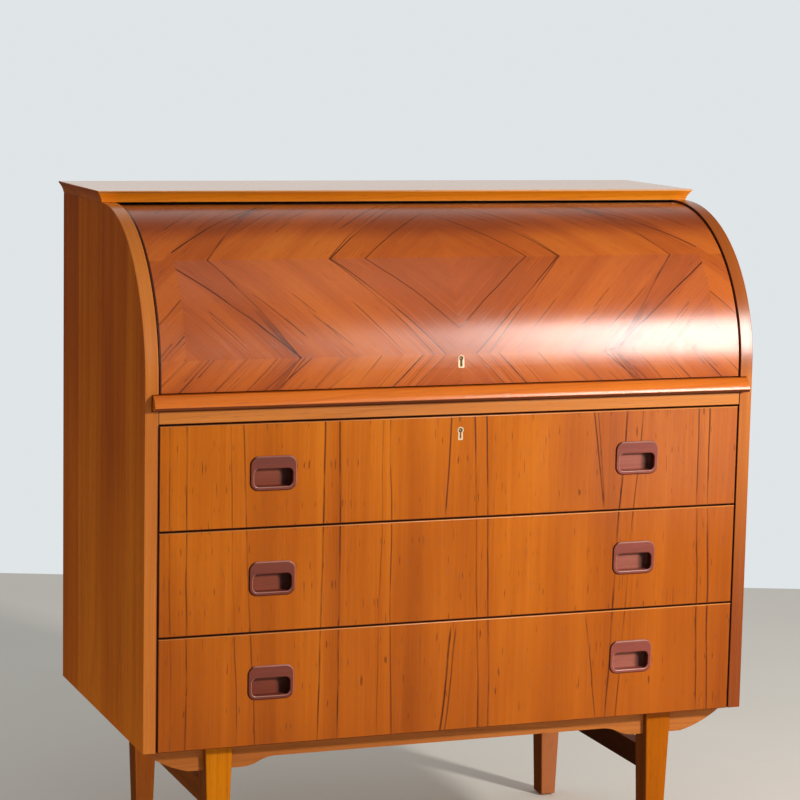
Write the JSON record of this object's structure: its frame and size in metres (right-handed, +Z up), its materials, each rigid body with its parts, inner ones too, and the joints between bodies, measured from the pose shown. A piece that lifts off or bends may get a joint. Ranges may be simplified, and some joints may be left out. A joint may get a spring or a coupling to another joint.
{
  "type": "cylinder desk",
  "caption": "Cylinder desk with a curved fall that rolls back into the case, a pull-out writing slide, full-width drawers with recessed pulls and a tapered-leg base.",
  "frame": {"origin": "on the floor, under the middle of the whole desk's width and depth", "axes": "+Z up, -Y towards the front that the user sits at, +X to that user's right"},
  "size_m": [0.915, 0.47, 0.9816],
  "materials": {
    "teak_veneer": "satin lacquer",
    "teak_solid": "satin lacquer",
    "pull_wood": "satin lacquer",
    "gallery_wood": "satin lacquer",
    "pale_wood": "bare, sanded",
    "plywood": "bare, sanded",
    "brass": "worn polish",
    "steel": "dull",
    "glide": "matte"
  },
  "bodies": {
    "carcase": {"side_panel_left": "teak_veneer", "side_panel_right": "teak_veneer", "top_board": "teak_veneer", "leg_front_left": "teak_solid", "leg_front_right": "teak_solid", "leg_back_left": "teak_solid", "leg_back_right": "teak_solid", "front_apron": "teak_solid", "back_apron": "teak_solid", "side_stretchers": "teak_solid", "front_rail": "teak_solid", "gallery_base": "gallery_wood", "gallery_uprights": "gallery_wood", "gallery_shelves": "gallery_wood", "gallery_top": "gallery_wood", "rear_rail": "pale_wood", "slide_runners": "pale_wood", "drawer_runners": "pale_wood", "fall_stops": "pale_wood", "corner_blocks": "pale_wood", "bottom_board": "pale_wood", "back_panel": "plywood", "dust_panel": "plywood", "gallery_back": "plywood", "fall_pivot_pins": "brass", "back_panel_screws": "steel", "corner_block_screws": "steel", "foot_glides": "glide"},
    "fall": {"cylinder_fall": "teak_veneer", "fall_cheeks": "plywood", "fall_bushes": "brass", "fall_lock_case": "steel", "fall_keyhole_plate": "brass"},
    "fall_bolt": {"fall_lock_bolt": "brass"},
    "slide": {"writing_slide": "teak_veneer", "slide_lip": "teak_solid", "slide_stops": "pale_wood", "strike_plate": "brass"},
    "drawer_1": {"drawer_1_front": "teak_veneer", "drawer_1_box": "pale_wood", "drawer_1_bottom": "plywood", "drawer_1_pulls": "pull_wood", "drawer_lock_case": "steel", "drawer_keyhole_plate": "brass"},
    "drawer_2": {"drawer_2_front": "teak_veneer", "drawer_2_box": "pale_wood", "drawer_2_bottom": "plywood", "drawer_2_pulls": "pull_wood"},
    "drawer_3": {"drawer_3_front": "teak_veneer", "drawer_3_box": "pale_wood", "drawer_3_bottom": "plywood", "drawer_3_pulls": "pull_wood"},
    "drawer_bolt": {"drawer_lock_bolt": "brass"},
    "tray_left": {"tray_left_front": "gallery_wood", "tray_left_box": "pale_wood", "tray_left_knob": "pull_wood"},
    "tray_right": {"tray_right_front": "gallery_wood", "tray_right_box": "pale_wood", "tray_right_knob": "pull_wood"}
  },
  "joints": [
    {"name": "fall_roll", "type": "hinge", "parent": "carcase", "child": "fall", "pos_m": [0, 0.0045, 0.7406], "axis": [-1, 0, 0], "range_deg": [0, 85]},
    {"name": "slide_pull", "type": "slide", "parent": "carcase", "child": "slide", "axis": [0, -1, 0], "range_m": [0, 0.28]},
    {"name": "drawer_1_pull", "type": "slide", "parent": "carcase", "child": "drawer_1", "axis": [0, -1, 0], "range_m": [0, 0.3]},
    {"name": "drawer_2_pull", "type": "slide", "parent": "carcase", "child": "drawer_2", "axis": [0, -1, 0], "range_m": [0, 0.3]},
    {"name": "drawer_3_pull", "type": "slide", "parent": "carcase", "child": "drawer_3", "axis": [0, -1, 0], "range_m": [0, 0.3]},
    {"name": "tray_left_pull", "type": "slide", "parent": "carcase", "child": "tray_left", "axis": [0, -1, 0], "range_m": [0, 0.105]},
    {"name": "tray_right_pull", "type": "slide", "parent": "carcase", "child": "tray_right", "axis": [0, -1, 0], "range_m": [0, 0.105]},
    {"name": "fall_bolt_throw", "type": "slide", "parent": "fall", "child": "fall_bolt", "axis": [0, 0, -1], "range_m": [0, 0.007]},
    {"name": "drawer_bolt_throw", "type": "slide", "parent": "drawer_1", "child": "drawer_bolt", "axis": [0, 0, 1], "range_m": [0, 0.007]}
  ]
}
